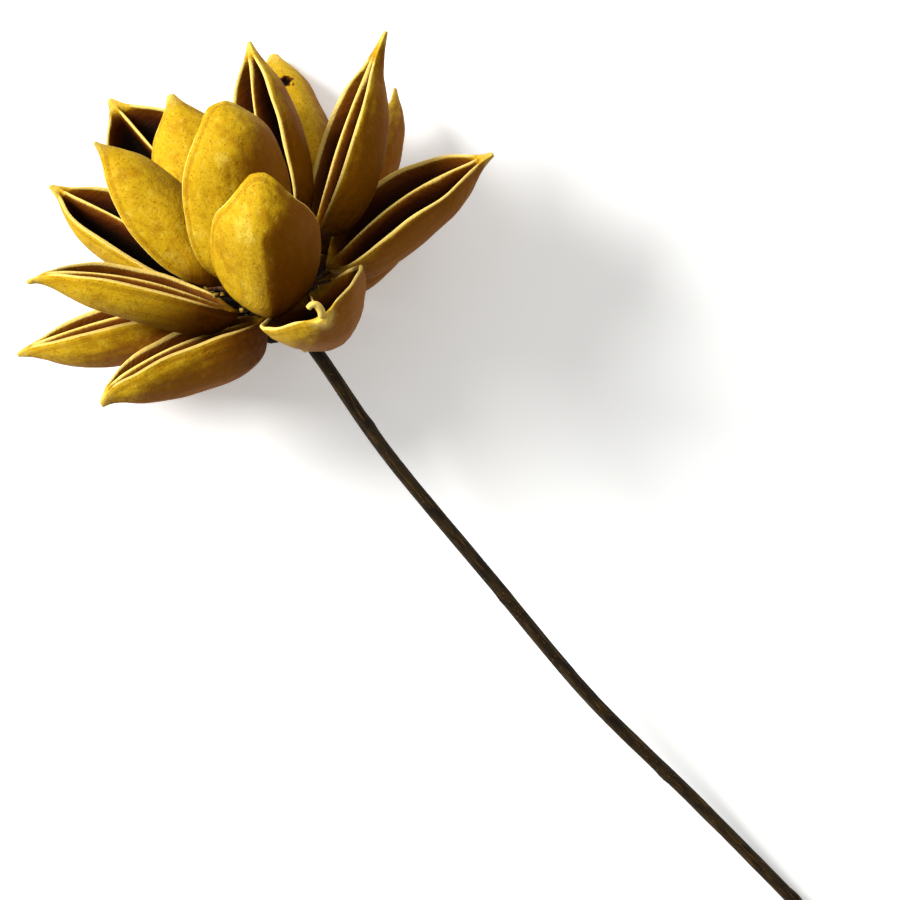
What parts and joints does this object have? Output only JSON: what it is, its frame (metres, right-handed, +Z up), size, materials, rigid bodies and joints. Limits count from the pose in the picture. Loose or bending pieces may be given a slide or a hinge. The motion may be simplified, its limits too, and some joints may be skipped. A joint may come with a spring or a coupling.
{
  "type": "dried seed-pod head on a stem",
  "caption": "Dried head of split boat-shaped woody seed pods around a dark knobby core, on a slim cut stem that lies on the surface.",
  "frame": {"origin": "bottom centre of the whole object's box, on the surface it lies on", "axes": "+X towards the cut end of the stem, +Z up away from the surface, the head at -X"},
  "size_m": [0.2994, 0.1244, 0.0943],
  "materials": {
    "pod_wood": "dry woody husk, golden tan with brown mottling, matt to satin",
    "core_wood": "dark knobby dry wood, matt",
    "stem_bark": "dark brown dry bark, satin"
  },
  "bodies": {
    "root": {"stem": "stem_bark", "receptacle": "core_wood", "pod_01": "pod_wood", "pod_02": "pod_wood", "pod_03": "pod_wood", "pod_04": "pod_wood", "pod_05": "pod_wood", "pod_06": "pod_wood", "pod_07": "pod_wood", "pod_08": "pod_wood", "pod_09": "pod_wood", "pod_10": "pod_wood", "pod_11": "pod_wood", "pod_12": "pod_wood", "pod_13": "pod_wood", "pod_14": "pod_wood", "pod_15": "pod_wood", "pod_16": "pod_wood", "pod_17": "pod_wood", "pod_18": "pod_wood", "pod_19": "pod_wood", "pod_20": "pod_wood"}
  },
  "joints": []
}
